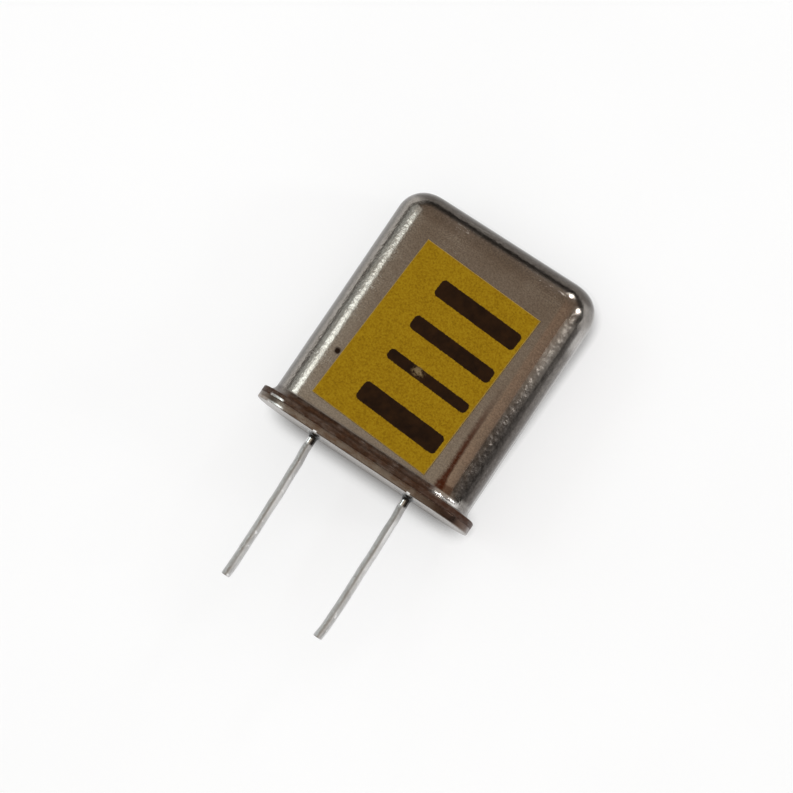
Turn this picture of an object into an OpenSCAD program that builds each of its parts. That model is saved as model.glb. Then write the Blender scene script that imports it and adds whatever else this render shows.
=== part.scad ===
// Quartz crystal unit: a drawn metal cover welded to a header with two wire leads.
// It lies on its back: X runs across the cover, +Y points to the cover's closed end,
// and +Z comes up out of the labelled front. The origin is the middle of the header's seating face.

/* [Cover] */
// Width of the cover over its side walls
cover_width = 9.9; // [8:0.1:14]
// Depth of the cover from its front face to its back face
cover_depth = 3.7; // [3.2:0.1:6]
// Height from the header's seating face to the closed end of the cover
body_height = 11.6; // [9:0.1:16]
// Thickness of the cover's sheet
sheet = 0.28; // [0.15:0.01:0.35]
// Outer radius of the four upright edges
edge_radius = 1.55; // [0.9:0.05:1.8]
// Outer radius where the walls turn over into the closed end
crown_radius = 1.25; // [0.6:0.05:1.5]
// Outer radius of the flare between the wall and the flange
flare_radius = 0.28; // [0.15:0.01:0.5]
// How far the flange runs out beyond the flare
flange_flat = 0.17; // [0.1:0.01:0.6]
// Rounding of the rim's edges, on the cover and on the header
rim_radius = 0.06; // [0.02:0.01:0.14]

/* [Header] */
// Thickness of the header's flange
header_flange = 0.32; // [0.2:0.01:0.6]
// Height of the raised middle above the header's flange
plateau_rise = 0.6; // [0.3:0.05:1.2]
// Gap between the raised middle and the inside of the cover
plateau_gap = 0.1; // [0.05:0.01:0.3]

/* [Glass seals] */
// Diameter of each glass bead in the header
bead_diameter = 1.5; // [1:0.05:2.2]
// How far the glass creeps down each wire below the seating face
meniscus = 0.2; // [0.1:0.01:0.4]

/* [Leads] */
// Distance between the two leads
lead_pitch = 4.88; // [4:0.01:6]
// Diameter of a lead over its tin coat
lead_diameter = 0.43; // [0.35:0.01:0.6]
// Thickness of the tin coat
tin_coat = 0.015; // [0.005:0.005:0.04]
// Length over which the tin coat thins out towards the glass
coat_fade = 0.7; // [0.55:0.05:2]
// Length of a lead below the seating face
lead_length = 7.15; // [3:0.05:20]
// Height of a lead's inner end above the raised middle
post_rise = 0.8; // [0.4:0.05:1.5]
// Bevel round the cut end of a lead
tip_bevel = 0.05; // [0.02:0.01:0.1]

/* [Mounting springs] */
// Thickness of the spring strip
strip = 0.15; // [0.08:0.01:0.25]
// Width of the spring strip
strip_width = 1.4; // [0.8:0.05:2]
// Inner radius of the bend between a spring's foot and its upright
bend_radius = 0.2; // [0.1:0.01:0.4]
// How far a spring's foot runs on past the middle of its lead
foot_tail = 0.35; // [0.22:0.01:0.8]
// Length of the slit that takes the edge of the quartz disc
slit_length = 2.2; // [1.9:0.05:3]
// Strip left above the slit
slit_cap = 0.5; // [0.3:0.05:1]
// Gap between a face of the quartz disc and the side of the slit
slit_gap = 0.05; // [0.03:0.01:0.12]

/* [Quartz disc] */
// Thickness of the quartz disc
disc_thickness = 0.25; // [0.1:0.01:0.5]
// Room between the rim of the disc and the cover's side wall
disc_side_room = 0.67; // [0.5:0.01:1.2]
// Least room between the rim of the disc and the cover's end or the springs' feet
disc_end_room = 0.6; // [0.4:0.05:1.5]
// How far the rim of the disc reaches into a spring's slit
grip = 0.1; // [0.06:0.01:0.14]

/* [Electrodes and bonds] */
// Diameter of the round field of each electrode
field_diameter = 4.5; // [3:0.1:5.4]
// Width of the tab from the field to the rim
tab_width = 1.2; // [0.6:0.1:1.6]
// Thickness of an electrode's film
film = 0.02; // [0.02:0.01:0.04]
// Gap between the end of a tab and the spring
tab_gap = 0.05; // [0.03:0.01:0.2]
// Radius of a dab of conductive cement
bond_radius = 0.55; // [0.4:0.01:0.6]

/* [Label] */
// Thickness of the label
label_thickness = 0.12; // [0.05:0.01:0.25]
// Bare face on each side of the label
label_side_room = 0.4; // [0.35:0.05:2]
// Bare face between the label and the flare
label_low_room = 0.34; // [0.25:0.01:3]
// Bare face between the label and the crown
label_high_room = 0.93; // [0.25:0.01:4]
// Sideways shift of the label
label_shift = -0.05; // [-0.2:0.01:0.2]
// Clockwise turn of the label as it was stuck on, in degrees
label_turn = 3.4; // [-4:0.1:4]

/* [Hidden] */
$fn = 96;

// How far a cut runs past the face that it opens
overrun = 0.4;
left = -1;
right = 1;
front = -1;
rear = 1;

// The upright edges stay inside the depth, and the crown inside the upright edges
corner = min(edge_radius, cover_depth / 2 - sheet / 2);
crown = min(crown_radius, corner - sheet / 2);
// Distances between the corner centres of the cover's plan
span_x = cover_width - 2 * corner;
span_y = cover_depth - 2 * corner;
// Heights up the cover, and the reach of the flange from the corner centres
flange_top = header_flange + sheet;
flare_top = flange_top + flare_radius;
crown_foot = body_height - crown;
flange_out = corner + flare_radius + flange_flat;
rim = min(rim_radius, sheet / 3, header_flange / 3, flange_flat / 2);
header_height = header_flange + plateau_rise;

// Inner ends of the leads, and the springs' feet that stand on them
wire_radius = lead_diameter / 2 - tin_coat;
foot_low = header_height + post_rise;
foot_high = foot_low + strip;

// The disc fills the width between the springs, or the height if that is less
ceiling = body_height - sheet;
disc_diameter = min(cover_width - 2 * sheet - 2 * disc_side_room, ceiling - foot_high - 2 * disc_end_room);
disc_radius = disc_diameter / 2;
disc_centre = (foot_high + ceiling) / 2;
grip_x = disc_radius - grip;

// The label, set out on the flat of the front face
label_width = span_x - 2 * label_side_room;
label_length = crown_foot - flare_top - label_low_room - label_high_room;
label_centre = flare_top + label_low_room + label_length / 2;

// Turns a piece drawn standing on its leads, with its front to -Y, onto its back
module laid_down() {
    rotate([-90, 0, 0]) children();
}

// Sweeps a wall profile round the cover's plan. The profile's x runs out from the corner centres.
module swept_round() {
    for (quarter = [0 : 3]) {
        along_x = quarter % 2 == 1;
        out_to = along_x ? span_y / 2 : span_x / 2;
        half_run = along_x ? span_x / 2 : span_y / 2;
        rotate([0, 0, 90 * quarter]) {
            translate([out_to, half_run, 0]) rotate([90, 0, 0]) linear_extrude(2 * half_run) children();
            translate([out_to, half_run, 0]) rotate_extrude(angle = 90) children();
        }
    }
}

// A quarter of a ring round the origin, in the quadrant that the two signs point to
module quarter_ring(outer, inner, sign_x, sign_y) {
    intersection() {
        difference() {
            circle(outer);
            circle(inner);
        }
        translate([sign_x > 0 ? 0 : -outer, sign_y > 0 ? 0 : -outer]) square(outer);
    }
}

// A flange's section from one place out to its rim, whose two edges are rounded
module flange_section(from, out, low, thickness) {
    translate([from, low]) square([out - rim - from, thickness]);
    translate([from, low + rim]) square([out - from, thickness - 2 * rim]);
    for (edge = [rim, thickness - rim]) translate([out - rim, low + edge]) circle(rim);
}

// Section of the cover's sheet, from the flat end over the crown, down the wall and out along the flange
module cover_section() {
    translate([0, ceiling]) square([corner - crown, sheet]);
    translate([corner - crown, crown_foot]) quarter_ring(crown, crown - sheet, 1, 1);
    translate([corner - sheet, flare_top]) square([sheet, crown_foot - flare_top]);
    translate([corner + flare_radius, flare_top]) quarter_ring(flare_radius + sheet, flare_radius, -1, -1);
    flange_section(corner + flare_radius, flange_out, header_flange, sheet);
}

module cover() {
    color([0.47, 0.43, 0.39]) laid_down() {
        swept_round() cover_section();
        translate([-span_x / 2, -span_y / 2, ceiling]) cube([span_x, span_y, sheet]);
    }
}

// Section of the header from the corner centres out: the raised middle and the flange
module header_section() {
    plateau_out = corner - sheet - plateau_gap;
    square([plateau_out, header_height]);
    flange_section(plateau_out, flange_out, 0, header_flange);
}

module header() {
    color([0.42, 0.37, 0.33]) laid_down() difference() {
        union() {
            swept_round() header_section();
            translate([-span_x / 2, -span_y / 2, 0]) cube([span_x, span_y, header_height]);
        }
        for (side = [left, right])
            translate([side * lead_pitch / 2, 0, -overrun])
                cylinder(d = bead_diameter, h = header_height + 2 * overrun);
    }
}

// Glass bead with the low cone where it creeps down the wire
module seal(side) {
    foot = wire_radius + meniscus;
    color([0.07, 0.07, 0.06]) laid_down() translate([side * lead_pitch / 2, 0, 0]) rotate_extrude()
        polygon([
            [wire_radius, header_height],
            [bead_diameter / 2, header_height],
            [bead_diameter / 2, 0],
            [foot, 0],
            [wire_radius + tin_coat, -meniscus],
            [wire_radius, -meniscus]
        ]);
}

module seal_left() {
    seal(left);
}

module seal_right() {
    seal(right);
}

// Wire lead: tinned to its cut end, the coat fading out at the glass, and bare from there to the spring
module lead(side) {
    tinned = lead_diameter / 2;
    color([0.62, 0.6, 0.57]) laid_down() translate([side * lead_pitch / 2, 0, 0]) rotate_extrude()
        polygon([
            [0, foot_low],
            [wire_radius, foot_low],
            [wire_radius, -meniscus],
            [tinned, -meniscus - coat_fade],
            [tinned, tip_bevel - lead_length],
            [tinned - tip_bevel, -lead_length],
            [0, -lead_length]
        ]);
}

module lead_left() {
    lead(left);
}

module lead_right() {
    lead(right);
}

// Bent strip, drawn for the right side: a foot on the lead's end, a bend and a slit upright
module spring_body() {
    bend_x = grip_x - bend_radius;
    bend_z = foot_high + bend_radius;
    foot_end = lead_pitch / 2 - foot_tail;
    slit_wide = disc_thickness + 2 * slit_gap;
    upright_top = disc_centre + slit_length / 2 + slit_cap;
    difference() {
        translate([0, strip_width / 2, 0]) rotate([90, 0, 0]) linear_extrude(strip_width) {
            translate([foot_end, foot_low]) square([bend_x - foot_end, strip]);
            translate([bend_x, bend_z]) quarter_ring(bend_radius + strip, bend_radius, 1, -1);
            translate([grip_x, bend_z]) square([strip, upright_top - bend_z]);
        }
        translate([grip_x - overrun, -slit_wide / 2, disc_centre - slit_length / 2])
            cube([strip + 2 * overrun, slit_wide, slit_length]);
    }
}

module spring(side) {
    color([0.6, 0.58, 0.55]) laid_down() mirror([side == left ? 1 : 0, 0, 0]) spring_body();
}

module spring_left() {
    spring(left);
}

module spring_right() {
    spring(right);
}

module disc_body() {
    translate([0, disc_thickness / 2, disc_centre]) rotate([90, 0, 0])
        cylinder(d = disc_diameter, h = disc_thickness);
}

module quartz_disc() {
    color([0.83, 0.85, 0.86]) laid_down() disc_body();
}

// Film on one face of the disc: a round field and a tab out to one spring
module electrode_body(face, side) {
    low = face == front ? disc_thickness / 2 : -disc_thickness / 2 - film;
    tab_length = grip_x - tab_gap;
    translate([0, 0, disc_centre]) rotate([90, 0, 0]) translate([0, 0, low]) linear_extrude(film) {
        circle(d = field_diameter);
        translate([side == left ? -tab_length : 0, -tab_width / 2]) square([tab_length, tab_width]);
    }
}

module electrode_front() {
    color([0.78, 0.77, 0.74]) laid_down() electrode_body(front, left);
}

module electrode_rear() {
    color([0.78, 0.77, 0.74]) laid_down() electrode_body(rear, right);
}

// Cement that joins the disc to one spring: a rounded dab on each face of the disc, against the strip
module bond(side) {
    tab_face = side == left ? front : rear;
    color([0.55, 0.54, 0.52]) laid_down() for (face = [front, rear]) {
        seat = disc_thickness / 2 + (face == tab_face ? film : 0);
        translate([side * grip_x, face * seat, disc_centre])
            mirror([side == right ? 1 : 0, 0, 0]) mirror([0, face == front ? 1 : 0, 0])
                rotate_extrude(angle = 90) intersection() {
                    circle(bond_radius);
                    translate([0, -bond_radius]) square([bond_radius, 2 * bond_radius]);
                }
    }
}

module bond_left() {
    bond(left);
}

module bond_right() {
    bond(right);
}

module label() {
    color([0.56, 0.44, 0.04]) laid_down() translate([label_shift, -cover_depth / 2, label_centre])
        rotate([0, label_turn, 0]) translate([-label_width / 2, -label_thickness, -label_length / 2])
            cube([label_width, label_thickness, label_length]);
}

cover();
header();
seal_left();
seal_right();
lead_left();
lead_right();
spring_left();
spring_right();
quartz_disc();
electrode_front();
electrode_rear();
bond_left();
bond_right();
label();
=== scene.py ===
import math
from types import SimpleNamespace

import bmesh
import bpy
from mathutils import Matrix, Vector, noise


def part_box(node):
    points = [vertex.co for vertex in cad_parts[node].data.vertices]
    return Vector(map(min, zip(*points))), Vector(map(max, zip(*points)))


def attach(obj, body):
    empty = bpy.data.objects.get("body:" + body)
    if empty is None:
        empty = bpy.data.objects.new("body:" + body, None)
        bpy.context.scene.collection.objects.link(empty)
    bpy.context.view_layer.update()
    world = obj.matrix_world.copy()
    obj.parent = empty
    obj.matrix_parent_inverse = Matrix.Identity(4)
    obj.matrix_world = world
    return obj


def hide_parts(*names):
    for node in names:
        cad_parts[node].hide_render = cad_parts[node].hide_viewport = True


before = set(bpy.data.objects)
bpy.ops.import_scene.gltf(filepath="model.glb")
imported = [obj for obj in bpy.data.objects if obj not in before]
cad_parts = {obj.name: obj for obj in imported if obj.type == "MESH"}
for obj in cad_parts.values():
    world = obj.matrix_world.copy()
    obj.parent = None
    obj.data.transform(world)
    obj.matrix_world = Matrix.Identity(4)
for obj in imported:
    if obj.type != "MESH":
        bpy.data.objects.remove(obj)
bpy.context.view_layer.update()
MM = 0.001
SIDES = {-1: "left", 1: "right"}


def box_mm(node):
    """Lowest and highest corner of a CAD node at rest, in millimetres."""
    return [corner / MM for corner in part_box(node)]


# Sizes in millimetres, worked out from the frame and a few radii

HAIR = 0.0001  # keeps the outermost points inside the box of the solids
CAP = 0.04  # where rings stop and a flat cap closes them

WALL = 1.55  # radius of the upright edges
SHEET = 0.28  # thickness of the cover
CROWN = 1.25  # radius round the closed end
FLARE = 0.28  # radius of the bend into the flange
FLANGE_FLAT = 0.17  # flat of the flange beyond the bend
RIM = 0.06  # rounding of a flange's free edge
SEAM = 0.018  # rounding of the weld seam
PLATEAU_GAP = 0.1  # room round the header's raised middle
COAT = 0.015  # thickness of the tin on a wire
COAT_FADE = 0.7  # length over which the tin grows to that

cover_low, cover_high = box_mm("cover")
FLANGE_OUT = WALL + FLARE + FLANGE_FLAT
SPAN_X = 2 * (cover_high.x - FLANGE_OUT)
SPAN_Z = 2 * (cover_high.z - FLANGE_OUT)
FRONT = SPAN_Z / 2 + WALL
HEIGHT = cover_high.y - HAIR
HEADER_FLANGE = cover_low.y
HEADER_HEIGHT = box_mm("header")[1].y
PLATEAU = WALL - SHEET - PLATEAU_GAP

seal_low, seal_high = box_mm("seal_right")
BEAD = (seal_high.x - seal_low.x) / 2
PITCH = seal_high.x + seal_low.x
MENISCUS = -seal_low.y

lead_low, lead_high = box_mm("lead_right")
TINNED = (lead_high.x - lead_low.x) / 2
WIRE = TINNED - COAT
LEAD_TOP = lead_high.y
LEAD_END = lead_low.y + HAIR

label_low, label_high = box_mm("label")
LABEL_W, LABEL_L, LABEL_TURN = 6.0, 8.2, 3.4  # the turn is in degrees
LABEL_SHIFT = (label_low.x + label_high.x) / 2
LABEL_MIDDLE = (label_low.y + label_high.y) / 2
LABEL_T = label_high.z - label_low.z

disc_low, disc_high = box_mm("quartz_disc")
DISC_MIDDLE = (disc_low.y + disc_high.y) / 2
DISC_HALF = disc_high.z
FILM = box_mm("electrode_front")[1].z - DISC_HALF

bond_low, bond_high = box_mm("bond_right")
DAB = (bond_high.y - bond_low.y) / 2
DAB_X = bond_high.x


# Mesh helpers

def shade(mesh, sharp):
    """Smooth shading, with edges kept sharp past an angle in degrees."""
    mesh.polygons.foreach_set("use_smooth", [True] * len(mesh.polygons))
    mesh.set_sharp_from_angle(angle=math.radians(sharp))


def new_piece(name, verts, faces, material, sharp=40.0):
    """A smooth-shaded object from vertices in millimetres."""
    mesh = bpy.data.meshes.new(name)
    mesh.from_pydata([Vector(v) * MM for v in verts], [], faces)
    work = bmesh.new()
    work.from_mesh(mesh)
    bmesh.ops.recalc_face_normals(work, faces=work.faces)
    work.to_mesh(mesh)
    work.free()
    shade(mesh, sharp)
    mesh.materials.append(material)
    piece = bpy.data.objects.new(name, mesh)
    bpy.context.scene.collection.objects.link(piece)
    return piece


def arc(cu, cv, radius, start, end, steps):
    """Points of an arc, the first one left out."""
    points = []
    for i in range(1, steps + 1):
        a = math.radians(start + (end - start) * i / steps)
        points.append((cu + radius * math.cos(a), cv + radius * math.sin(a)))
    return points


def run(u0, v0, u1, v1, steps):
    """Points of a straight run, the first one left out."""
    return [(u0 + (u1 - u0) * i / steps, v0 + (v1 - v0) * i / steps) for i in range(1, steps + 1)]


def ring_of(r, y, x, z, count):
    """Points of a circle round the Y direction."""
    angles = [2 * math.pi * j / count for j in range(count)]
    return [(x + r * math.cos(a), y, z + r * math.sin(a)) for a in angles]


def tube_faces(rings, count, closed=False):
    """Quads between rings of count vertices. Flat caps close the ends, or the last ring joins the first."""
    faces = []
    for i in range(rings if closed else rings - 1):
        low, high = i * count, (i + 1) % rings * count
        for j in range(count):
            k = (j + 1) % count
            faces.append((low + j, low + k, high + k, high + j))
    if not closed:
        last = (rings - 1) * count
        faces.append(tuple(range(count)))
        faces.append(tuple(last + j for j in reversed(range(count))))
    return faces


def plan_path(corner_steps, long_steps, short_steps):
    """Foot points on the rectangle of corner centres, each with its outward direction."""
    path = []
    hx, hz = SPAN_X / 2, SPAN_Z / 2
    corners = [(hx, hz), (-hx, hz), (-hx, -hz), (hx, -hz)]
    for i, (cx, cz) in enumerate(corners):
        for j in range(corner_steps + 1):
            a = math.radians(90 * i + 90 * j / corner_steps)
            path.append((cx, cz, math.cos(a), math.sin(a)))
        nx, nz = corners[(i + 1) % 4]
        steps = long_steps if i % 2 == 0 else short_steps
        a = math.radians(90 * (i + 1))
        for j in range(1, steps):
            t = j / steps
            path.append((cx + (nx - cx) * t, cz + (nz - cz) * t, math.cos(a), math.sin(a)))
    return path


def sweep(profile, path, move=None, moved=0):
    """Rings of the profile round the path, closed flat. The first moved rings go through move."""
    verts = []
    for i, (u, v) in enumerate(profile):
        for cx, cz, nx, nz in path:
            point = Vector((cx + nx * u, v, cz + nz * u))
            verts.append(move(point, Vector((nx, 0.0, nz))) if i < moved else point)
    return verts, tube_faces(len(profile), len(path))


def turned_piece(name, profile, centre, ring, material, closed=False):
    """A solid turned about Y. The profile holds each ring's radius, y, x shift and z shift."""
    verts = []
    for r, y, dx, dz in profile:
        verts += ring_of(r, y, centre + dx, dz, ring)
    return new_piece(name, verts, tube_faces(len(profile), ring, closed), material)


def smooth(a, b, x):
    """Smooth step from 0 at a to 1 at b."""
    t = min(1.0, max(0.0, (x - a) / (b - a)))
    return t * t * (3.0 - 2.0 * t)


def along(table, y):
    """Value at y of a smooth line through (y, value) pairs that fall in y."""
    for (y0, v0), (y1, v1) in zip(table, table[1:]):
        if y >= y1:
            return v0 + (v1 - v0) * smooth(y0, y1, y) if y < y0 else v0
    return table[-1][1]


# Cover and header

SWELL, SWELL_HALF = 0.020, 3.9  # height and half width
SWELL_START, SWELL_STOP = (0.9, 2.6), (8.6, 10.8)  # where it grows and fades, along y
BROAD_WAVE, CLOSE_WAVE = 0.010, 0.0022
EDGE_START, EDGE_STOP = (1.0, 2.0), (9.6, 10.8)
EDGE_RIPPLE = 0.012


def face_swell(x, y):
    """How far the drawn sheet stands off true on its broad faces."""
    across = max(0.0, 1.0 - (x / SWELL_HALF) ** 2)
    up = smooth(*SWELL_START, y) * (1.0 - smooth(*SWELL_STOP, y))
    broad = noise.noise(Vector((x * 0.55, y * 0.4, 3.1))) * BROAD_WAVE
    close = noise.noise(Vector((x * 1.6, y * 1.1, 8.4))) * CLOSE_WAVE
    return across * up * (SWELL + (broad + close))


def sheet_wander(p, out):
    """Outer skin of the cover with the slight unevenness of drawn metal."""
    swell = face_swell(p.x, p.y) * abs(out.z) ** 3
    side = (1.0 - abs(out.z)) * smooth(*EDGE_START, p.y) * (1.0 - smooth(*EDGE_STOP, p.y))
    ripple = noise.noise(Vector((p.x * 1.3, p.y * 0.7, p.z * 1.3 + 5.0))) * EDGE_RIPPLE * side
    return p + out * (swell + ripple)


def rim_line(start, end):
    """A flange's rim from its free edge to the weld, where the two rims run together."""
    way = 1 if end > start else -1
    points = arc(FLANGE_OUT - RIM, start + way * RIM, RIM, -90 * way, 0, 8)
    points += run(FLANGE_OUT, start + way * RIM, FLANGE_OUT, end - way * SEAM, 3)
    return points + arc(FLANGE_OUT - SEAM, end - way * SEAM, SEAM, 0, 90 * way, 4)


def build_cover(material):
    """Drawn can of one sheet: closed end, crown, walls and flange outside, then back up inside."""
    foot, shelf, ceiling = HEADER_FLANGE, HEADER_FLANGE + SHEET, HEIGHT - SHEET
    inside = WALL - SHEET
    flare_u, flare_v = WALL + FLARE, shelf + FLARE
    crown_u, crown_v = WALL - CROWN, HEIGHT - CROWN
    outer = [(CAP, HEIGHT)]
    outer += run(CAP, HEIGHT, crown_u, HEIGHT, 2)
    outer += arc(crown_u, crown_v, CROWN, 90, 0, 22)
    outer += run(WALL, crown_v, WALL, flare_v, 64)
    outer += arc(flare_u, flare_v, FLARE, 180, 270, 14)
    outer += run(flare_u, shelf, FLANGE_OUT - RIM, shelf, 2)
    outer += rim_line(shelf, foot)
    inner = run(FLANGE_OUT - SEAM, foot, flare_u, foot, 1)
    inner += arc(flare_u, flare_v, FLARE + SHEET, 270, 180, 10)
    inner += run(inside, flare_v, inside, crown_v, 8)
    inner += arc(crown_u, crown_v, CROWN - SHEET, 0, 90, 10)
    inner += run(crown_u, ceiling, CAP, ceiling, 2)
    path = plan_path(corner_steps=18, long_steps=48, short_steps=6)
    verts, faces = sweep(outer + inner, path, sheet_wander, len(outer))
    return new_piece("cover_can", verts, faces, material)


def cut_holes(piece, cutters, sharp):
    """Cuts the cutters out of the piece and removes them."""
    for cutter in cutters:
        cut = piece.modifiers.new("hole", "BOOLEAN")
        cut.operation = "DIFFERENCE"
        cut.solver = "EXACT"
        cut.object = cutter
    bpy.context.view_layer.update()
    shown = piece.evaluated_get(bpy.context.evaluated_depsgraph_get())
    mesh = bpy.data.meshes.new_from_object(shown)
    piece.modifiers.clear()
    piece.data = mesh
    shade(mesh, sharp)
    for cutter in cutters:
        bpy.data.objects.remove(cutter)


def build_header(material):
    """Base plate with a raised middle and a hole for each bead."""
    seat, top = HEADER_FLANGE, HEADER_HEIGHT
    profile = [(CAP, 0.0)]
    profile += run(CAP, 0.0, FLANGE_OUT - RIM, 0.0, 3)
    profile += rim_line(0.0, seat)
    profile += run(FLANGE_OUT - SEAM, seat, PLATEAU, seat, 2)
    profile += run(PLATEAU, seat, PLATEAU, top, 2)
    profile += run(PLATEAU, top, CAP, top, 2)
    verts, faces = sweep(profile, plan_path(corner_steps=18, long_steps=40, short_steps=4))
    header = new_piece("header_base", verts, faces, material)
    ring, over = 64, 0.4
    cutters = []
    for side in SIDES:
        tube = []
        for y in (-over, top + over):
            tube += ring_of(BEAD, y, side * PITCH / 2, 0.0, ring)
        cutters.append(new_piece("cutter", tube, tube_faces(2, ring), material))
    cut_holes(header, cutters, sharp=35.0)
    return header


# Leads and their glass

# Sideways lean of each wire, as pairs of y and shift
LEAN = {
    -1: [(-0.2, 0.0), (-0.7, 0.0), (-1.5, 0.065), (-3.2, 0.135),
         (-5.0, 0.18), (-6.6, 0.205), (-7.2, 0.185)],
    1: [(-0.2, 0.0), (-0.5, 0.0), (-1.2, 0.05), (-3.2, 0.105),
        (-5.6, 0.16), (-6.5, 0.155), (-7.2, 0.11)],
}


def build_lead(side, material):
    """Hand-bent tinned wire: bare through the glass, then an uneven dipped coat down to the snipped end."""
    tip, bevel, steps = 0.03, 0.05, 150
    long_lump, short_lump, thin, bow = 0.008, 0.004, 0.004, 0.03
    bare = (LEAD_TOP, 1.2, 0.5, -0.1)
    profile = [(tip, LEAD_TOP, 0, 0)]
    profile += [(WIRE, y, 0, 0) for y in bare]
    for i in range(steps + 1):
        y = -MENISCUS + (LEAD_END + bevel + MENISCUS) * i / steps
        coat = min(1.0, max(0.0, (-MENISCUS - y) / COAT_FADE))
        lump = noise.noise(Vector((side * 7.0, y * 1.5, 0.5))) * long_lump
        lump += noise.noise(Vector((side * 3.0, y * 5.0, 2.5))) * short_lump
        r = WIRE + (TINNED - WIRE) * coat + (lump - thin) * coat
        dz = bow * noise.noise(Vector((side * 2.0, y * 0.35, 9.0))) * coat
        profile.append((r, y, along(LEAN[side], y), dz))
    r, _, dx, dz = profile[-1]
    for turn in (30, 60, 90):
        a = math.radians(turn)
        profile.append((r - bevel * (1 - math.cos(a)), LEAD_END + bevel * (1 - math.sin(a)), dx, dz))
    profile.append((tip, LEAD_END, dx, dz))
    return turned_piece("wire_" + SIDES[side], profile, side * PITCH / 2, ring=40, material=material)


def build_seal(side, material):
    """Glass bead with a curved fillet where it creeps down the wire."""
    foot, steps = WIRE + MENISCUS, 12
    rise, feather, waist, inset = 0.06, 0.008, 0.5, 0.04
    start, end = foot + rise, WIRE + feather
    profile = [(WIRE, HEADER_HEIGHT), (BEAD, HEADER_HEIGHT), (BEAD, waist), (BEAD, 0.0)]
    profile += [(BEAD - inset, 0.0), (foot + 2 * rise, 0.0)]
    for i in range(steps + 1):
        a = i / steps * math.pi / 2
        profile.append((start - (start - end) * math.sin(a), -MENISCUS * (1 - math.cos(a))))
    profile.append((WIRE, -MENISCUS))
    rings = [(r, y, 0, 0) for r, y in profile]
    centre = side * PITCH / 2
    return turned_piece("bead_" + SIDES[side], rings, centre, ring=56, material=material, closed=True)


# Cement and label

def build_cement(side, material):
    """Dabs of cement on both faces of the disc: each a quarter ball with a slightly lumpy skin."""
    rows, turns = 24, 12
    smallest, lumps, close = 0.97, 0.03, 3.0
    verts, faces = [], []
    for face in (-1, 1):
        seat = DISC_HALF + (FILM if face == -side else 0.0)
        centre = Vector((side * DAB_X, DISC_MIDDLE, face * seat))

        def skin(row, turn):
            a = math.radians(180 * row / rows - 90)
            b = math.radians(90 * turn / turns)
            way = Vector((-side * math.cos(a) * math.cos(b), math.sin(a), face * math.cos(a) * math.sin(b)))
            lump = noise.noise((centre + way * DAB) * close) * lumps
            return centre + way * DAB * (smallest + lump)

        south = len(verts)
        verts.append(skin(0, 0))
        for row in range(1, rows):
            verts += [skin(row, turn) for turn in range(turns + 1)]
        north = len(verts)
        verts.append(skin(rows, 0))
        starts = range(south + 1, north, turns + 1)
        rings = [list(range(start, start + turns + 1)) for start in starts]
        for turn in range(turns):
            faces.append((south, rings[0][turn + 1], rings[0][turn]))
            faces.append((north, rings[-1][turn], rings[-1][turn + 1]))
            for low, high in zip(rings, rings[1:]):
                faces.append((low[turn], low[turn + 1], high[turn + 1], high[turn]))
        faces.append((south, *[ring[0] for ring in rings], north))
        faces.append((north, *[ring[turns] for ring in reversed(rings)], south))
    return new_piece("cement_" + SIDES[side], verts, faces, material, sharp=50)


def build_label(material):
    """Tape cut square, laid on the swell of the face, with softly rounded cut edges."""
    soft, ripple = 0.03, 0.002
    columns, rows = 60, 82
    turn = math.radians(-LABEL_TURN)
    c, s = math.cos(turn), math.sin(turn)

    def lines(half, steps):
        inner = half - soft
        edge = [-half + soft * share for share in (0.0, 0.3, 0.65)]
        middle = [-inner + 2 * inner * i / steps for i in range(steps + 1)]
        return edge + middle + [-v for v in reversed(edge)]

    def under(x, y):
        return face_swell(x * c - y * s + LABEL_SHIFT, x * s + y * c + LABEL_MIDDLE)

    def over(x, y):
        inset = min(LABEL_W / 2 - abs(x), LABEL_L / 2 - abs(y))
        drop = soft - math.sqrt(max(0.0, soft ** 2 - (soft - inset) ** 2)) if inset < soft else 0.0
        return under(x, y) + (LABEL_T - drop + noise.noise(Vector((x * 0.9, y * 0.9, 1.0))) * ripple)

    xs, ys = lines(LABEL_W / 2, columns), lines(LABEL_L / 2, rows)
    verts = [(x, y, level(x, y)) for level in (under, over) for y in ys for x in xs]
    faces = []
    wide, tall = len(xs), len(ys)
    size = wide * tall
    for j in range(tall - 1):
        for i in range(wide - 1):
            a = j * wide + i
            faces.append((size + a, size + a + 1, size + a + wide + 1, size + a + wide))
            faces.append((a, a + wide, a + wide + 1, a + 1))
    border = list(range(wide))
    border += [j * wide + wide - 1 for j in range(1, tall)]
    border += [(tall - 1) * wide + i for i in range(wide - 2, -1, -1)]
    border += [j * wide for j in range(tall - 2, 0, -1)]
    for a, b in zip(border, border[1:] + border[:1]):
        faces.append((a, b, size + b, size + a))
    label = new_piece("label_tape", verts, faces, material, sharp=50)
    place = Matrix.Translation(Vector((LABEL_SHIFT, LABEL_MIDDLE, FRONT)) * MM)
    label.matrix_world = place @ Matrix.Rotation(turn, 4, "Z")
    return label


# Node helpers

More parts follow.
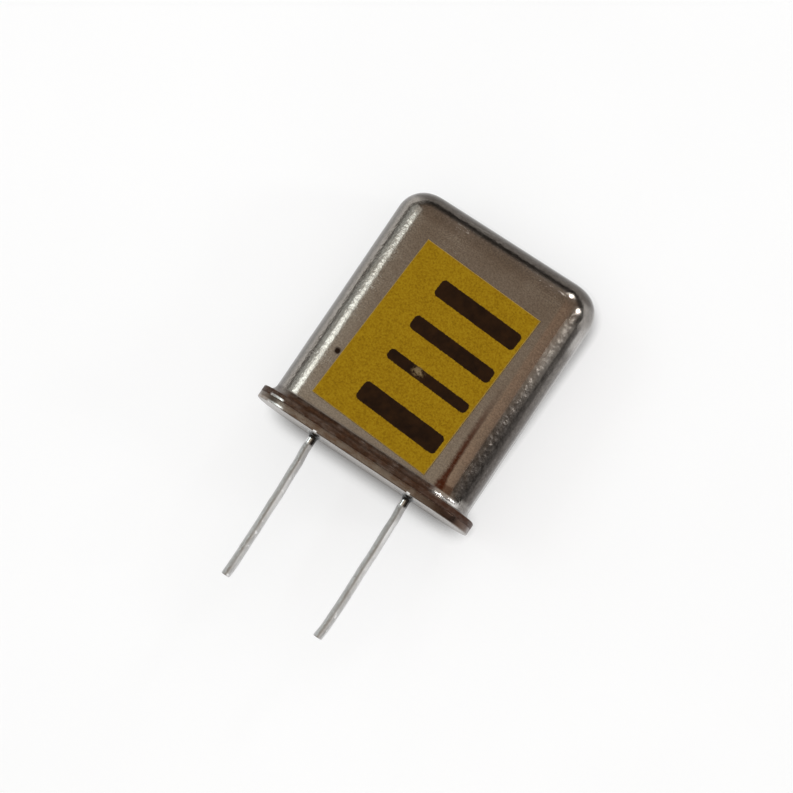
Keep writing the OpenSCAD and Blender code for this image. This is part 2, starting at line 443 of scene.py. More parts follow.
class Graph:
    """A few short calls for building a node tree."""

    def __init__(self, tree):
        self.tree = tree

    def node(self, kind, **settings):
        """A new node with its settings."""
        made = self.tree.nodes.new(kind)
        for key, value in settings.items():
            setattr(made, key, value)
        return made

    def put(self, socket, value):
        """Links a socket to another, or sets its value."""
        if isinstance(value, bpy.types.NodeSocket):
            self.tree.links.new(value, socket)
        elif value is not None:
            socket.default_value = value

    def place(self, scale=(1, 1, 1), turn=(0, 0, 0), shift=(0, 0, 0)):
        """Object coordinates in millimetres, stretched and turned."""
        coords = self.node("ShaderNodeTexCoord")
        mapping = self.node("ShaderNodeMapping")
        self.put(mapping.inputs["Vector"], coords.outputs["Object"])
        mapping.inputs["Scale"].default_value = [v / MM for v in scale]
        mapping.inputs["Rotation"].default_value = [math.radians(v) for v in turn]
        mapping.inputs["Location"].default_value = shift
        return mapping.outputs["Vector"]

    def xyz(self, vector):
        """The three parts of a vector."""
        split = self.node("ShaderNodeSeparateXYZ")
        self.put(split.inputs[0], vector)
        return split.outputs

    def facing(self):
        """The surface's own direction, in three parts."""
        return self.xyz(self.node("ShaderNodeTexCoord").outputs["Normal"])

    def math(self, operation, a, b=None):
        """One operation on one or two values."""
        made = self.node("ShaderNodeMath", operation=operation)
        for socket, value in zip(made.inputs, (a, b)):
            self.put(socket, value)
        return made.outputs[0]

    def chain(self, operation, first, rest):
        """The same operation from each value to the next."""
        for value in rest:
            first = self.math(operation, first, value)
        return first

    def times(self, first, *rest):
        """Product of the values."""
        return self.chain("MULTIPLY", first, rest)

    def plus(self, first, *rest):
        """Sum of the values."""
        return self.chain("ADD", first, rest)

    def most(self, first, *rest):
        """Largest of the values."""
        return self.chain("MAXIMUM", first, rest)

    def minus(self, a, b):
        """First value less the second."""
        return self.math("SUBTRACT", a, b)

    def invert(self, value):
        """One less the value."""
        return self.minus(1.0, value)

    def spread(self, value, amount):
        """A noise of 0 to 1, centred on 0 and scaled."""
        return self.times(self.minus(value, 0.5), amount)

    def distance(self, a, b):
        """Length of the step with legs a and b."""
        return self.math("SQRT", self.plus(self.times(a, a), self.times(b, b)))

    def noise(self, vector, scale, detail=3.0, rough=0.55, bend=0.0):
        """Smooth noise, 0 to 1."""
        made = self.node("ShaderNodeTexNoise")
        self.put(made.inputs["Vector"], vector)
        made.inputs["Scale"].default_value = scale
        made.inputs["Detail"].default_value = detail
        made.inputs["Roughness"].default_value = rough
        made.inputs["Distortion"].default_value = bend
        return made.outputs["Fac"]

    def step(self, value, a, b, low=0.0, high=1.0):
        """Smooth step from low at a to high at b."""
        made = self.node("ShaderNodeMapRange", interpolation_type="SMOOTHSTEP")
        self.put(made.inputs["Value"], value)
        for name, setting in (("From Min", a), ("From Max", b), ("To Min", low), ("To Max", high)):
            self.put(made.inputs[name], setting)
        return made.outputs["Result"]

    def window(self, value, a, b, c, d):
        """1 between b and c, falling to 0 at a and at d."""
        return self.times(self.step(value, a, b), self.step(value, d, c))

    def mix(self, factor, a, b, how="MIX"):
        """Colour a turned into colour b."""
        made = self.node("ShaderNodeMix", data_type="RGBA", blend_type=how)
        self.put(made.inputs["Factor"], factor)
        colours = [socket for socket in made.inputs if socket.type == "RGBA"]
        for socket, value in zip(colours, (a, b)):
            self.put(socket, value if isinstance(value, bpy.types.NodeSocket) else (*value, 1.0))
        return next(socket for socket in made.outputs if socket.type == "RGBA")

    def tinted(self, colour, tint):
        """The colour multiplied by a tint."""
        return self.mix(1.0, colour, tint, "MULTIPLY")

    def ramp(self, value, stops):
        """Colours at places from 0 to 1."""
        made = self.node("ShaderNodeValToRGB")
        self.put(made.inputs["Fac"], value)
        points = made.color_ramp.elements
        while len(points) < len(stops):
            points.new(0.5)
        for point, (at, colour) in zip(points, stops):
            point.position = at
            point.color = (*colour, 1.0)
        return made.outputs["Color"]

    def bump(self, height, depth, strength=1.0, under=None):
        """Bump of a height of 0 to 1 that stands for depth millimetres."""
        made = self.node("ShaderNodeBump")
        self.put(made.inputs["Height"], height)
        self.put(made.inputs["Strength"], strength)
        made.inputs["Distance"].default_value = depth * MM
        self.put(made.inputs["Normal"], under)
        return made.outputs["Normal"]

    def scratches(self, seed, turn, width=0.014):
        """Thin short lines across one direction, 0 to 1."""
        long_way = self.place((0.5, 11.0, 3.0), (0, 0, turn), (seed, seed * 0.7, seed * 1.3))
        lines = self.noise(long_way, scale=1.0, detail=2.0, rough=0.5, bend=0.15)
        line = self.step(self.math("ABSOLUTE", self.minus(lines, 0.5)), 0.0, width, 1.0, 0.0)
        patches = self.place((0.6, 0.6, 0.6), (0, 0, turn), (seed * 2.0, 4.0, 1.0))
        gate = self.noise(patches, scale=1.0, detail=2.0, rough=0.5)
        return self.times(line, self.step(gate, 0.54, 0.66))


def new_material(name):
    """A material with its graph and its shader."""
    material = bpy.data.materials.new(name)
    material.use_nodes = True
    return material, Graph(material.node_tree), material.node_tree.nodes["Principled BSDF"]


# Finish of the cover

# bright metal of the painted highlights
GLINT_METAL = (0.80, 0.78, 0.75)
SHOULDER_Y, SHOULDER_Z = 9.55, 0.85
FLECK_X, FLECK_Y = -3.36, 3.46


def cover_places(g):
    """Masks and noises that the parts of the cover's finish share."""
    p = SimpleNamespace(at=g.place())
    p.x, p.y, p.z = g.xyz(p.at)
    level = g.math("ABSOLUTE", g.facing()[2])
    p.bent = g.step(level, 0.93, 0.5)
    p.curl = g.step(level, 0.995, 0.90)
    p.front = g.step(p.z, 0.2, 1.0)
    p.wall = g.window(p.y, 0.95, 1.2, 9.7, 10.3)
    p.right = g.times(g.step(p.x, 3.92, 4.04), p.front, p.wall)
    p.cloud = g.noise(p.at, scale=0.75, detail=4.0, rough=0.6)
    p.fine = g.noise(p.at, scale=7.0, detail=3.0, rough=0.6)
    p.mottle = g.noise(p.at, scale=4.6, detail=4.0, rough=0.7)
    return p


def cover_bends(g, p):
    """Nickel, mottled, with painted shade where it was bent hardest, darker down the right edge and darkest
    over the crown.
    """
    light, middle, dark = (0.475, 0.44, 0.395), (0.43, 0.39, 0.345), (0.385, 0.340, 0.290)
    colour = g.ramp(p.cloud, [(0.25, dark), (0.5, middle), (0.75, light)])
    colour = g.mix(g.step(p.fine, 0.45, 0.75, 0.0, 0.25), colour, (0.29, 0.245, 0.20))
    # painted shade on the bends, darker down the right edge
    dimmed = g.times(p.bent, g.step(p.mottle, 0.32, 0.68, 0.96, 0.72))
    right_edge = g.times(g.step(p.x, 3.9, 4.4), p.wall)
    colour = g.mix(dimmed, colour, g.mix(right_edge, (0.202, 0.190, 0.180), (0.125, 0.115, 0.108)))
    # painted shade over the crown
    crown = g.times(g.step(p.y, 10.82, 11.15), g.step(p.z, 0.05, 0.75))
    crown = g.times(crown, g.step(p.mottle, 0.3, 0.7, 0.95, 0.8))
    return g.mix(crown, colour, (0.068, 0.056, 0.047))


def cover_edges(g, p, colour):
    """A painted highlight on the right shoulder, painted shade and a painted dark line down that edge, and
    painted shade on the left edge.
    """
    # painted highlight on the right shoulder
    off = g.distance(g.times(g.minus(p.y, SHOULDER_Y), 0.95), g.minus(p.z, SHOULDER_Z))
    off = g.plus(off, g.spread(p.mottle, 0.9))
    shoulder_highlight = g.times(g.step(off, 0.95, 0.15, 0.0, 0.9), g.step(p.x, 4.5, 4.8))
    colour = g.mix(shoulder_highlight, colour, (0.46, 0.44, 0.42))
    # painted shade lower down the right edge
    right_band_shade = g.times(p.right, g.step(p.y, 8.5, 4.0, 0.0, 0.88), g.step(p.mottle, 0.35, 0.7, 1.0, 0.6))
    colour = g.mix(right_band_shade, colour, (0.085, 0.072, 0.064))
    # painted shade: a dark line down the right edge
    line = g.times(g.window(p.x, 4.45, 4.54, 4.66, 4.76), p.front, p.wall, 0.75)
    colour = g.mix(line, colour, (0.045, 0.039, 0.035))
    # painted shade on the left edge
    return g.mix(g.step(p.x, -4.45, -4.7, 0.0, 0.45), colour, (0.10, 0.094, 0.087))


def cover_tarnish(g, p, colour):
    """A brown streak down the right edge that gathers at the flange, and a painted warm reflection beside
    it.
    """
    drift = g.spread(g.noise(g.place((0.2, 0.9, 0.2)), scale=1.0, detail=2.0), 0.10)
    drift = g.plus(drift, g.spread(p.fine, 0.12))
    off = g.minus(g.plus(p.x, drift), g.step(p.y, 1.2, 3.4, 3.53, 3.465))
    low_edge = g.step(off, g.step(p.y, 1.1, 1.8, -0.36, -0.27), g.step(p.y, 1.1, 1.8, -0.14, -0.04))
    high_edge = g.step(off, g.step(p.y, 1.1, 1.6, 0.26, 0.14), g.step(p.y, 1.1, 1.6, 0.08, 0.01))
    fade = g.times(g.step(p.y, 7.2, 2.2), g.step(p.fine, 0.25, 0.5, 0.7, 1.0))
    tarnish = g.times(low_edge, high_edge, fade, p.front, g.step(p.y, 0.82, 1.0))
    # painted reflection: a warm tan band beside the streak
    warm = g.times(g.window(p.x, 3.45, 3.65, 3.96, 4.08), p.front, g.step(p.cloud, 0.3, 0.6, 0.55, 0.95))
    warm = g.times(warm, g.window(p.y, 0.86, 1.0, 10.2, 10.9))
    colour = g.mix(warm, colour, (0.50, 0.40, 0.33))
    pool = g.times(g.window(p.x, 3.4, 3.55, 3.98, 4.12), p.front, g.step(p.y, 0.82, 0.92))
    pool = g.times(pool, g.step(g.plus(p.y, drift), 1.34, 1.2))
    colour = g.mix(g.times(pool, 0.75), colour, (0.20, 0.105, 0.066))
    return g.mix(g.times(tarnish, 0.95), colour, (0.115, 0.030, 0.011)), tarnish


def cover_weld(g, p, colour):
    """Heat tint and grime at the weld, left off at the flange's ends, with painted shade darkest in the
    flare and at the right end, and painted highlights on the lip and flare.
    """
    # painted highlight along the left lip
    lip = g.times(g.window(p.x, -4.78, -4.6, -4.15, -3.95), g.step(p.y, 0.44, 0.39))
    right_end = g.times(g.step(p.x, 3.15, 3.6), g.step(p.y, 0.56, 0.62, 0.0, 0.9))
    left_end = g.times(g.step(p.x, -3.9, -4.5), g.step(p.y, 0.58, 0.66, 0.0, 0.65))
    clean = g.most(right_end, left_end, lip)
    patches = g.noise(g.place((1.2, 2.5, 1.2)), scale=1.6, detail=4.0, rough=0.65)
    grime_and_shade = g.times(g.step(p.y, 0.98, 0.86), g.invert(clean), g.step(patches, 0.32, 0.62, 0.86, 1.0))
    # heat tint and grime, with painted shade darkest in the flare
    soot_and_shade = g.ramp(p.y, [
        (0.57, (0.050, 0.024, 0.013)),
        (0.63, (0.066, 0.032, 0.017)),
        (0.75, (0.058, 0.028, 0.015)),
        (0.86, (0.030, 0.014, 0.007)),
    ])
    soot_and_shade = g.mix(g.step(p.mottle, 0.42, 0.66), soot_and_shade, g.tinted(soot_and_shade, (1.45, 1.47, 1.5)))
    # painted shade at the flange's right end
    soot_and_shade = g.mix(g.step(p.x, 1.8, 4.2), soot_and_shade, (0.066, 0.030, 0.018))
    colour = g.mix(grime_and_shade, colour, soot_and_shade)
    # painted highlight on the flare's right corner
    flare = g.times(g.window(p.x, 3.3, 3.6, 4.4, 4.7), g.window(p.y, 0.6, 0.66, 0.86, 0.95))
    return g.mix(g.times(g.most(flare, lip), 0.9), colour, GLINT_METAL), grime_and_shade, clean


def cover_metal():
    """Satin nickel with its wear, and with painted shade and painted highlights."""
    material, g, shader = new_material("satin_nickel")
    p = cover_places(g)
    colour = cover_edges(g, p, cover_bends(g, p))
    colour, tarnish = cover_tarnish(g, p, colour)
    colour, grime_and_shade, clean = cover_weld(g, p, colour)
    # one dark fleck beside the label
    off = g.plus(g.distance(g.minus(p.x, FLECK_X), g.minus(p.y, FLECK_Y)), g.spread(p.fine, 0.12))
    fleck_and_glint = g.times(g.step(off, 0.19, 0.09), p.front)
    colour = g.mix(fleck_and_glint, colour, (0.035, 0.022, 0.016))
    grain = g.step(g.noise(p.at, scale=13.0, detail=2.0, rough=0.6), 0.32, 0.68)
    colour = g.tinted(colour, g.mix(grain, (0.86, 0.86, 0.86), (1.14, 1.14, 1.14)))
    marks = g.most(g.scratches(seed=2.0, turn=24.0), g.scratches(seed=7.0, turn=-63.0))
    g.put(shader.inputs["Base Color"], g.mix(g.times(marks, 0.25), colour, (0.56, 0.52, 0.47)))
    g.put(shader.inputs["Metallic"], g.invert(g.times(grime_and_shade, 0.6)))
    shader.inputs["Specular IOR Level"].default_value = 0.06

    pull = g.noise(g.place((4.0, 0.3, 4.0)), scale=1.0, detail=3.0, rough=0.6)
    rough = g.plus(g.step(pull, 0.3, 0.7, 0.14, 0.17), g.times(p.cloud, 0.05))
    rough = g.plus(rough, g.times(g.most(tarnish, fleck_and_glint), 0.12))
    rough = g.plus(rough, g.times(p.right, 0.14), g.times(grime_and_shade, 0.3))
    rough = g.plus(rough, g.times(clean, g.step(p.y, 0.98, 0.9), 0.05), g.times(marks, 0.08))
    g.put(shader.inputs["Roughness"], rough)

    # fine grain all over, livelier on the bends, and a coarse skin down the right edge
    slow = g.noise(p.at, scale=1.7, detail=2.0, rough=0.5)
    close = g.noise(p.at, scale=7.0, detail=2.0, rough=0.5)
    skin = g.noise(p.at, scale=3.6, detail=1.6, rough=0.5)
    lively = g.times(g.minus(p.curl, g.times(p.right, 0.75)), g.step(p.y, 9.9, 10.4, 0.42, 0.2))
    coarse = g.times(p.right, g.step(p.y, 8.5, 4.0, 0.40, 0.62))
    under = g.bump(slow, depth=0.008, strength=0.5)
    under = g.bump(close, depth=0.025, strength=g.plus(lively, 0.10), under=under)
    under = g.bump(skin, depth=0.048, strength=coarse, under=under)
    g.put(shader.inputs["Normal"], g.bump(g.invert(marks), depth=0.0015, strength=0.6, under=under))
    return material


# Finish of the header, leads and glass

# places of the painted highlights above the leads
GLINTS_ABOVE_LEADS = (-2.16, 2.61)


def header_metal():
    """Satin nickel, tarnished towards the weld, with painted shade underneath and at the right end, and
    painted highlights on the left lip and above the leads.
    """
    material, g, shader = new_material("weld_nickel")
    at = g.place()
    x, y, z = g.xyz(at)
    cloud = g.noise(at, scale=1.3, detail=4.0, rough=0.6)
    fine = g.noise(at, scale=8.0, detail=3.0, rough=0.6)
    light, middle, dark = (0.42, 0.385, 0.35), (0.35, 0.31, 0.275), (0.27, 0.232, 0.20)
    colour = g.ramp(cloud, [(0.28, dark), (0.5, middle), (0.74, light)])
    edge = g.step(y, 0.01, 0.08)
    # painted shade on the underside
    colour = g.mix(edge, g.tinted(colour, (0.80, 0.81, 0.82)), colour)
    patches = g.noise(g.place((1.4, 3.0, 1.4)), scale=1.4, detail=4.0, rough=0.65)
    stain = g.times(edge, g.step(patches, 0.4, 0.66))
    colour = g.mix(g.times(stain, 0.8), colour, (0.21, 0.13, 0.085))
    # painted shade at the flange's right end
    colour = g.mix(g.times(g.step(x, 2.0, 4.4), edge, 0.9), colour, (0.085, 0.047, 0.032))
    colour = g.mix(g.step(fine, 0.5, 0.78, 0.0, 0.3), colour, (0.24, 0.19, 0.155))
    # dark left end with a painted highlight on its lower lip, and a painted highlight above each lead
    end = g.times(g.step(x, -3.6, -4.1), g.step(y, 0.1, 0.16, 0.0, 0.8))
    colour = g.mix(end, colour, (0.10, 0.075, 0.055))
    lip = g.times(g.window(x, -4.75, -4.6, -4.0, -3.75), g.window(y, 0.0, 0.015, 0.08, 0.13))
    colour = g.mix(g.times(lip, 0.9), colour, GLINT_METAL)
    left, right = [g.math("ABSOLUTE", g.minus(x, glint_x)) for glint_x in GLINTS_ABOVE_LEADS]
    off = g.math("MINIMUM", left, right)
    # painted highlight above each lead
    fleck_and_glint = g.times(g.step(off, 0.11, 0.06), g.step(y, 0.09, 0.05), g.step(z, 1.4, 1.7))
    g.put(shader.inputs["Base Color"], g.mix(fleck_and_glint, colour, (0.95, 0.95, 0.93)))
    g.put(shader.inputs["Metallic"], g.invert(fleck_and_glint))
    g.put(shader.inputs["Roughness"], g.plus(g.step(cloud, 0.3, 0.7, 0.30, 0.24), g.times(stain, 0.12)))
    peel = g.bump(g.noise(at, scale=2.4, detail=2.0, rough=0.5), depth=0.01, strength=0.6)
    g.put(shader.inputs["Normal"], g.bump(fine, depth=0.005, strength=0.6, under=peel))
    return material


def tinned_wire():
    """Dipped tin, with painted shade down one flank, a painted highlight pale and spotted down the other,
    and a painted glint and painted shade at the glass.
    """
    material, g, shader = new_material("tinned_wire")
    at = g.place()
    x, y, _ = g.xyz(at)
    flank = g.facing()[0]
    runs = g.noise(g.place((6.0, 0.9, 6.0)), scale=1.0, detail=3.0, rough=0.6)
    lumps = g.noise(at, scale=4.2, detail=3.0, rough=0.55)
    dimmed = g.step(g.noise(at, scale=1.1, detail=4.0, rough=0.65), 0.42, 0.68)
    light, middle, dark = (0.72, 0.72, 0.715), (0.62, 0.62, 0.61), (0.53, 0.525, 0.51)
    colour = g.ramp(runs, [(0.28, dark), (0.52, middle), (0.76, light)])
    colour = g.mix(g.times(dimmed, 0.4), colour, (0.45, 0.44, 0.42))
    # painted shade down the flank that faces left
    shady = g.window(flank, -0.75, -0.35, 0.0, 0.35)
    colour = g.mix(g.times(shady, 0.6), colour, (0.28, 0.265, 0.25))
    # painted highlight down the flank that faces right, weaker towards the snipped end
    pale = g.times(g.step(flank, 0.1, 0.45), g.step(y, -4.9, -3.4, 0.35, 1.0))
    colour = g.mix(g.times(pale, 0.75), colour, (0.92, 0.915, 0.91))
    # painted glints on the lit flank: a run on the right wire and spots on the lumps
    streak = g.times(g.window(y, -2.5, -1.9, -1.35, -0.95), g.step(x, 1.0, 2.0))
    glint_spots = g.times(g.most(streak, g.step(lumps, 0.60, 0.68)), g.window(flank, 0.15, 0.4, 0.7, 0.9))
    colour = g.mix(glint_spots, colour, (0.97, 0.97, 0.965))
    collar = g.step(y, -0.55, -0.4)
    # painted glint on the collar's left flank and painted shade on its right
    bare = g.mix(g.step(flank, 0.0, 0.3), (0.85, 0.85, 0.84), (0.10, 0.095, 0.09))
    g.put(shader.inputs["Base Color"], g.mix(collar, colour, bare))
    metal = g.times(g.step(dimmed, 0.0, 1.0, 0.72, 0.42), g.invert(g.times(pale, 0.6)), g.invert(glint_spots))
    g.put(shader.inputs["Metallic"], g.most(metal, collar))
    satin = g.plus(g.step(lumps, 0.5, 0.72, 0.40, 0.24), g.times(dimmed, 0.08))
    g.put(shader.inputs["Roughness"], g.minus(satin, g.times(g.minus(satin, 0.12), collar)))
    under = g.bump(lumps, depth=0.05, strength=g.minus(0.8, g.times(collar, 0.5)))
    g.put(shader.inputs["Normal"], g.bump(runs, depth=0.01, strength=0.6, under=under))
    return material


def seal_glass():
    """Dark gloss glass."""
    material, g, shader = new_material("seal_glass")
    at = g.place()
    cloud = g.noise(at, scale=2.2, detail=4.0, rough=0.6)
    dark, light = (0.008, 0.008, 0.007), (0.030, 0.029, 0.026)
    g.put(shader.inputs["Base Color"], g.ramp(cloud, [(0.3, dark), (0.7, light)]))
    g.put(shader.inputs["Roughness"], g.step(g.noise(at, scale=6.0, detail=3.0), 0.35, 0.7, 0.06, 0.16))
    shader.inputs["IOR"].default_value = 1.52
    g.put(shader.inputs["Normal"], g.bump(cloud, depth=0.006, strength=0.5))
    return material


# Finish of the label

# Middle and half height of each printed bar, and the middle and half length that they share
BARS = [(-2.75, 0.46), (-0.80, 0.25), (0.90, 0.34), (2.72, 0.41)]
BAR_X, BAR_HALF, BAR_ROUND = 0.7, 2.1, 0.2
SCUFF_X, SCUFF_Y = 0.15, -0.75


def printed_bars(g, x, y, fur):
    """Mask of plain rounded bars, with the slight fur of ribbon print."""
    shape = []
    for middle, half in BARS:
        along_x = g.minus(g.math("ABSOLUTE", g.minus(x, BAR_X)), BAR_HALF - BAR_ROUND)
        along_y = g.minus(g.math("ABSOLUTE", g.minus(y, middle)), half - BAR_ROUND)
        off = g.plus(g.distance(g.most(along_x, 0.0), g.most(along_y, 0.0)), fur)
        shape.append(g.step(off, BAR_ROUND - 0.02, BAR_ROUND + 0.02, 1.0, 0.0))
    return g.most(*shape)


def label_tape():
    """Yellow laminated tape with dark bars, a grey scuff and a pale cut edge."""
    material, g, shader = new_material("label_tape")
    at = g.place()
    x, y, _ = g.xyz(at)
    fine = g.noise(at, scale=12.0, detail=3.0, rough=0.6)
    cloud = g.noise(at, scale=0.8, detail=3.0, rough=0.6)
    colour = g.ramp(cloud, [(0.25, (0.262, 0.142, 0.003)), (0.75, (0.300, 0.170, 0.004))])
    colour = g.mix(g.step(fine, 0.46, 0.66, 0.0, 0.7), colour, (0.35, 0.215, 0.008))
    colour = g.mix(g.step(fine, 0.48, 0.32, 0.0, 0.7), colour, (0.185, 0.096, 0.002))

    fur = g.spread(fine, 0.05)
    dx, dy = g.minus(x, SCUFF_X), g.minus(y, SCUFF_Y)
    off = g.math("SQRT", g.plus(g.times(dx, dx), g.times(dy, dy, 2.2)))
    patches = g.noise(at, scale=5.0, detail=4.0, rough=0.7)
    scuff = g.times(g.step(off, 0.42, 0.1), g.step(patches, 0.42, 0.58))
    ink = g.times(printed_bars(g, x, y, fur), g.invert(g.times(scuff, 0.5)))
    ink_cloud = g.noise(at, scale=2.5, detail=3.0, rough=0.6)
    dark_ink, light_ink = (0.013, 0.006, 0.003), (0.026, 0.011, 0.004)
    colour = g.mix(ink, colour, g.ramp(ink_cloud, [(0.3, dark_ink), (0.7, light_ink)]))
    colour = g.mix(g.times(scuff, 0.5), colour, (0.21, 0.175, 0.14))

    to_side = g.minus(LABEL_W / 2, g.math("ABSOLUTE", x))
    to_end = g.minus(LABEL_L / 2, g.math("ABSOLUTE", y))
    inset = g.plus(g.math("MINIMUM", to_side, to_end), g.times(fur, 0.5))
    cut = g.step(inset, 0.015, 0.05, 1.0, 0.0)
    g.put(shader.inputs["Base Color"], g.mix(g.times(cut, 0.55), colour, (0.36, 0.26, 0.10)))

    shader.inputs["Specular IOR Level"].default_value = 0.04
    g.put(shader.inputs["Roughness"], g.plus(g.step(cloud, 0.3, 0.7, 0.40, 0.48), g.times(scuff, 0.2)))
    peel = g.bump(g.noise(at, scale=3.2, detail=2.0, rough=0.5), depth=0.004, strength=0.5)
    g.put(shader.inputs["Normal"], g.bump(fine, depth=0.002, strength=0.4, under=peel))
    return material


# Finish of the pieces inside

def plain_finish(name, dark, light, smoothest, roughest, scale, metallic=1.0):
    """A finish with a slow cloud in its colour and a fine grain along Y."""
    material, g, shader = new_material(name)
    shader.inputs["Metallic"].default_value = metallic
    at = g.place()
    cloud = g.noise(at, scale=scale, detail=4.0, rough=0.6)
    g.put(shader.inputs["Base Color"], g.ramp(cloud, [(0.3, dark), (0.7, light)]))
    fine = g.noise(at, scale=scale * 4, detail=3.0)
    g.put(shader.inputs["Roughness"], g.step(fine, 0.3, 0.7, smoothest, roughest))
    grain = g.noise(g.place((9.0, 1.5, 9.0)), scale=1.0, detail=3.0)
    g.put(shader.inputs["Normal"], g.bump(grain, depth=0.003, strength=0.5))
    return material


def quartz():
    """Lapped clear quartz."""
    material, g, shader = new_material("quartz_plate")
    at = g.place()
    cloud = g.noise(at, scale=1.2, detail=4.0, rough=0.6)
    dark, light = (0.78, 0.80, 0.81), (0.86, 0.88, 0.89)
    g.put(shader.inputs["Base Color"], g.ramp(cloud, [(0.3, dark), (0.7, light)]))
    g.put(shader.inputs["Roughness"], g.step(g.noise(at, scale=9.0, detail=3.0), 0.3, 0.7, 0.22, 0.34))
    shader.inputs["Transmission Weight"].default_value = 0.65
    shader.inputs["IOR"].default_value = 1.544
    g.put(shader.inputs["Normal"], g.bump(g.noise(at, scale=14.0, detail=2.0), depth=0.002, strength=0.5))
    return material


# Pieces

cement = plain_finish("silver_cement", dark=(0.46, 0.45, 0.43), light=(0.62, 0.61, 0.59),
                      smoothest=0.55, roughest=0.72, scale=3.0, metallic=0.0)
metal = cover_metal()
base_metal = header_metal()
wire_metal = tinned_wire()
glass = seal_glass()

made = [
    (build_cover(metal), "cover", "cover_metal"),
    (build_header(base_metal), "header", "header_metal"),
    (build_seal(-1, glass), "seal_left", "seal_glass"),
    (build_seal(1, glass), "seal_right", "seal_glass"),
    (build_lead(-1, wire_metal), "lead_left", "tinned_wire"),
    (build_lead(1, wire_metal), "lead_right", "tinned_wire"),
    (build_label(label_tape()), "label", "label_tape"),
    (build_cement(-1, cement), "bond_left", "silver_cement"),
    (build_cement(1, cement), "bond_right", "silver_cement"),
]
for piece, node, slot in made:
    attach(piece, "root")
    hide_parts(node)

spring = plain_finish("spring_strip", dark=(0.52, 0.50, 0.46), light=(0.65, 0.63, 0.60),
                      smoothest=0.22, roughest=0.34, scale=1.4)
film = plain_finish("silver_film", dark=(0.72, 0.71, 0.68), light=(0.82, 0.81, 0.78),
                    smoothest=0.16, roughest=0.26, scale=1.8)
inside = {
    "spring_left": spring,
    "spring_right": spring,
    "electrode_front": film,
    "electrode_rear": film,
    "quartz_disc": quartz(),
}
for name, material in inside.items():
    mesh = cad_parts[name].data
    mesh.materials.clear()
    mesh.materials.append(material)


# Floor, light and camera

def floor_paper():
    """White paper with a painted contact shadow, from ambient occlusion, where something lies close to it.
    """
    material, g, shader = new_material("pale_floor")
    contact = 0.9
    near = g.node("ShaderNodeAmbientOcclusion", samples=8)
    near.inputs["Distance"].default_value = contact * MM
    # painted shadow near the object, in the colour and in the glow
    shade_free = g.step(near.outputs["AO"], 0.5, 1.0)
    cloud = g.noise(g.place(), scale=0.05, detail=3.0, rough=0.6)
    pale = g.ramp(cloud, [(0.3, (0.34, 0.34, 0.34)), (0.7, (0.36, 0.36, 0.36))])
    g.put(shader.inputs["Base Color"], g.mix(shade_free, (0.17, 0.167, 0.164), pale))
    rays = g.node("ShaderNodeLightPath").outputs
    seen = g.plus(rays["Is Camera Ray"], rays["Is Glossy Ray"], rays["Is Transmission Ray"])
    seen.node.use_clamp = True
    g.put(shader.inputs["Emission Color"], g.mix(shade_free, (0.19, 0.187, 0.184), (0.65, 0.65, 0.65)))
    g.put(shader.inputs["Emission Strength"], seen)
    shader.inputs["Roughness"].default_value = 0.9
    shader.inputs["Specular IOR Level"].default_value = 0.1
    return material


def build_floor():
    """A sheet that meets the flange's rim and the far end of the cover."""
    reach, steps = 900.0, 12
    grid = [-reach + 2 * reach * i / steps for i in range(steps + 1)]
    verts = [(x, y, 0.0) for y in grid for x in grid]
    row = steps + 1
    starts = [j * row + i for j in range(steps) for i in range(steps)]
    faces = [(a, a + 1, a + row + 1, a + row) for a in starts]
    floor = new_piece("floor", verts, faces, floor_paper())
    hinge_y, gap = 0.46, 0.003
    flange_low = SPAN_Z / 2 + FLANGE_OUT
    slope = math.atan2(flange_low - FRONT, HEIGHT - CROWN - hinge_y)
    place = Matrix.Translation(Vector((0, hinge_y, -flange_low - gap)) * MM)
    floor.matrix_world = place @ Matrix.Rotation(slope, 4, "X")


LAMP_TARGET = Vector((0, 0.004, 0))


def lamp(name, toward, distance, width, height, radiance, colour=(1, 1, 1), glossy=True):
    """An area lamp that shines from one direction onto the part. Lengths are in metres."""
    data = bpy.data.lights.new(name, "AREA")
    data.shape = "RECTANGLE"
    data.size = width
    data.size_y = height
    data.energy = radiance * math.pi * width * height
    data.color = colour
    holder = bpy.data.objects.new(name, data)
    bpy.context.scene.collection.objects.link(holder)
    way = Vector(toward).normalized()
    turn = way.to_track_quat("Z", "Y").to_matrix().to_4x4()
    holder.matrix_world = Matrix.Translation(LAMP_TARGET + way * distance) @ turn
    holder.visible_camera = False
    holder.visible_glossy = glossy


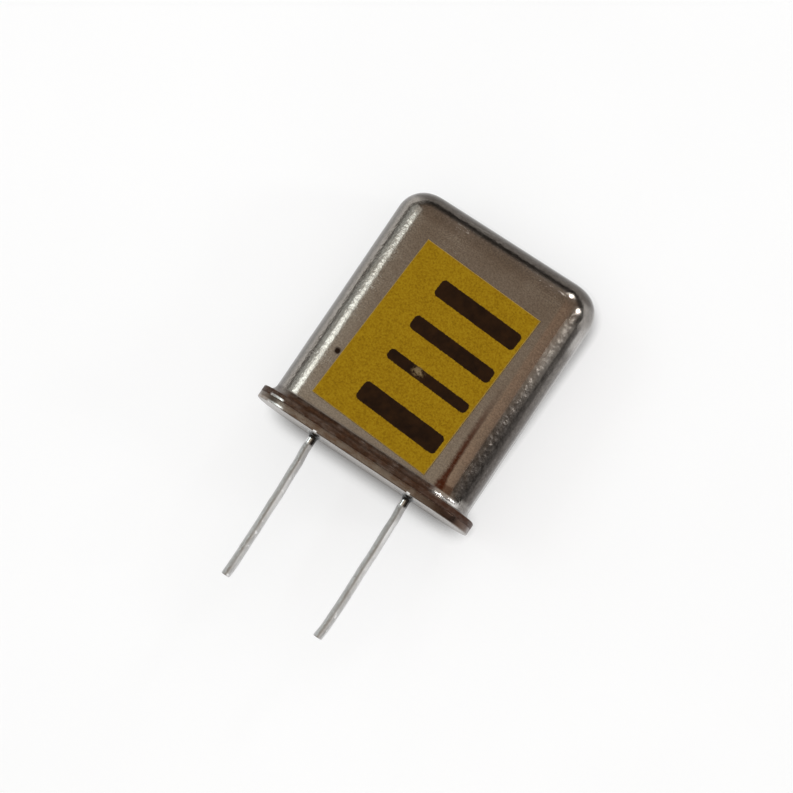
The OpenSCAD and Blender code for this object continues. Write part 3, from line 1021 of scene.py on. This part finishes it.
def build_world():
    """A room that is warm and pale above, darker low down and at the far end."""
    world = bpy.data.worlds.new("studio")
    bpy.context.scene.world = world
    world.use_nodes = True
    g = Graph(world.node_tree)
    background = world.node_tree.nodes["Background"]
    x, y, z = g.xyz(g.node("ShaderNodeTexCoord").outputs["Generated"])
    sky = g.ramp(z, [
        (0.0, (0.10, 0.092, 0.086)),
        (0.30, (0.12, 0.108, 0.098)),
        (0.62, (0.22, 0.185, 0.155)),
        (0.88, (0.42, 0.355, 0.29)),
        (1.0, (0.50, 0.43, 0.35)),
    ])
    far = g.ramp(z, [
        (0.0, (0.045, 0.04, 0.036)),
        (0.34, (0.055, 0.047, 0.041)),
        (0.52, (0.215, 0.165, 0.13)),
        (0.75, (0.235, 0.185, 0.145)),
        (1.0, (0.265, 0.205, 0.16)),
    ])
    sky = g.mix(g.step(y, 0.0, 0.19), sky, far)
    pale = g.times(g.step(x, -0.08, -0.26), g.step(y, 0.19, 0.02), g.step(z, 0.7, 0.9))
    sky = g.mix(pale, sky, (0.54, 0.49, 0.42))
    right = g.step(x, 0.3, 0.7)
    sky = g.mix(g.times(right, g.step(z, 0.8, 0.5)), sky, g.tinted(sky, (0.85, 0.83, 0.82)))
    sky = g.mix(g.times(right, g.step(z, 0.32, 0.12)), sky, g.tinted(sky, (0.45, 0.44, 0.43)))
    low_left = g.times(g.step(x, -0.3, -0.8), g.step(z, 0.45, 0.15))
    sky = g.mix(low_left, sky, (0.17, 0.165, 0.155))
    sky = g.mix(g.step(y, -0.15, -0.6), sky, g.tinted(sky, (0.75, 0.54, 0.40)))
    g.put(background.inputs["Color"], sky)


def place_camera():
    """A long lens that looks down on the label, a little from the right and from the leads' end."""
    target, distance = Vector((-0.42, 3.35, 0.0)), 100.0
    from_right, from_leads, roll = math.radians(8.2), math.radians(4.6), math.radians(33.98)
    sensor_mm, focal_px, width_px = 36.0, 2312.0, 793.0
    back = Vector((math.sin(from_right), -math.sin(from_leads), 0.0))
    back.z = math.sqrt(1.0 - back.length_squared)
    up = (Vector((0, 1, 0)) - back * back.y).normalized()
    right = up.cross(back)
    image_up = up * math.cos(roll) - right * math.sin(roll)
    image_right = up * math.sin(roll) + right * math.cos(roll)
    data = bpy.data.cameras.new("camera")
    data.sensor_width = sensor_mm
    data.lens = sensor_mm * focal_px / width_px
    data.clip_start = 0.005
    data.clip_end = 10.0
    camera = bpy.data.objects.new("camera", data)
    bpy.context.scene.collection.objects.link(camera)
    turn = Matrix((image_right, image_up, back)).transposed().to_4x4()
    camera.matrix_world = Matrix.Translation((target + back * distance) * MM) @ turn
    bpy.context.scene.camera = camera


build_floor()
build_world()
lamp("top_fill", toward=(0.02, 0.0, 1.0), distance=0.5, width=2.4, height=2.4, radiance=0.60,
     colour=(0.93, 1.0, 1.06), glossy=False)
lamp("left_window", toward=(-0.85, 0.08, 0.52), distance=0.5, width=0.46, height=0.32, radiance=0.45,
     colour=(0.9, 1.0, 1.02))
lamp("left_pane", toward=(-0.73, -0.19, 0.66), distance=0.48, width=0.34, height=0.13, radiance=2.1,
     colour=(0.88, 1.0, 1.03))
lamp("far_lamp", toward=(0.15, 0.88, 0.45), distance=0.5, width=0.075, height=0.075, radiance=18.0)
lamp("right_lamp", toward=(0.83, 0.39, 0.40), distance=0.5, width=0.075, height=0.075, radiance=20.0)
place_camera()
bpy.context.scene.view_settings.view_transform = "Standard"
